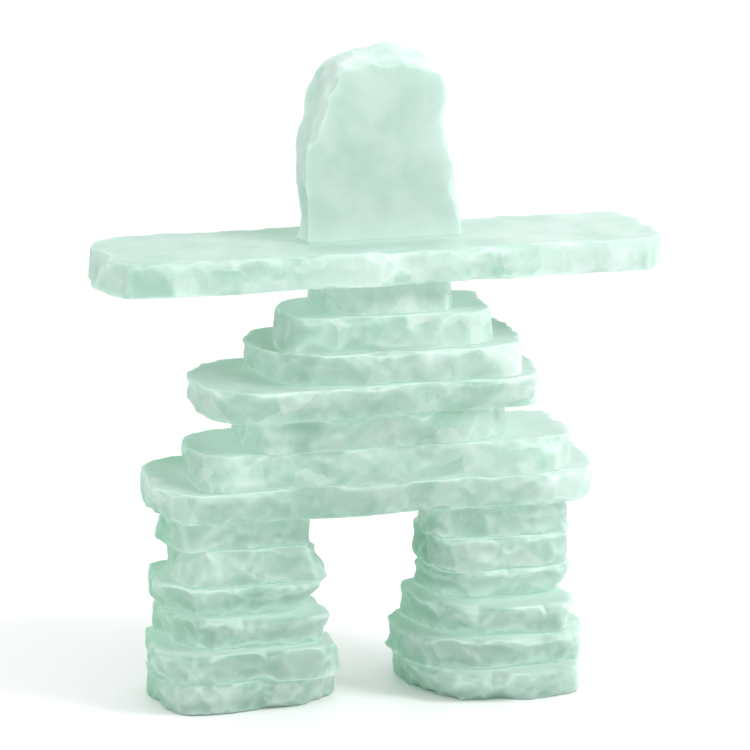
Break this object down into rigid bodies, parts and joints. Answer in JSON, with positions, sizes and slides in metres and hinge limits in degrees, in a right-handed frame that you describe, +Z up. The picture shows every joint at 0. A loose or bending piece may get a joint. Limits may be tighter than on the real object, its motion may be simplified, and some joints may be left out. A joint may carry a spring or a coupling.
{
  "type": "glass inukshuk sculpture",
  "caption": "Standing figure of stacked slabs of frosted plate glass with chipped edges: two legs, a body, outstretched arms and an upright head.",
  "frame": {"origin": "on the ground under the middle of the whole figure's box, between the feet", "axes": "+Z up, +X to the viewer's right along the outstretched arms, the figure's front towards -Y"},
  "size_m": [0.2166, 0.079, 0.244],
  "materials": {
    "frosted_glass": "sandblasted float glass, milky pale green, knapped edges, no gloss"
  },
  "bodies": {
    "root": {"left_leg_slab_1": "frosted_glass", "left_leg_slab_2": "frosted_glass", "left_leg_slab_3": "frosted_glass", "left_leg_slab_4": "frosted_glass", "left_leg_slab_5": "frosted_glass", "left_leg_slab_6": "frosted_glass", "right_leg_slab_1": "frosted_glass", "right_leg_slab_2": "frosted_glass", "right_leg_slab_3": "frosted_glass", "right_leg_slab_4": "frosted_glass", "right_leg_slab_5": "frosted_glass", "right_leg_slab_6": "frosted_glass", "hip_slab": "frosted_glass", "belly_slab": "frosted_glass", "waist_slab": "frosted_glass", "rib_slab": "frosted_glass", "chest_slab": "frosted_glass", "shoulder_slab": "frosted_glass", "neck_slab": "frosted_glass", "arms_slab": "frosted_glass", "head_slab": "frosted_glass"}
  },
  "joints": []
}
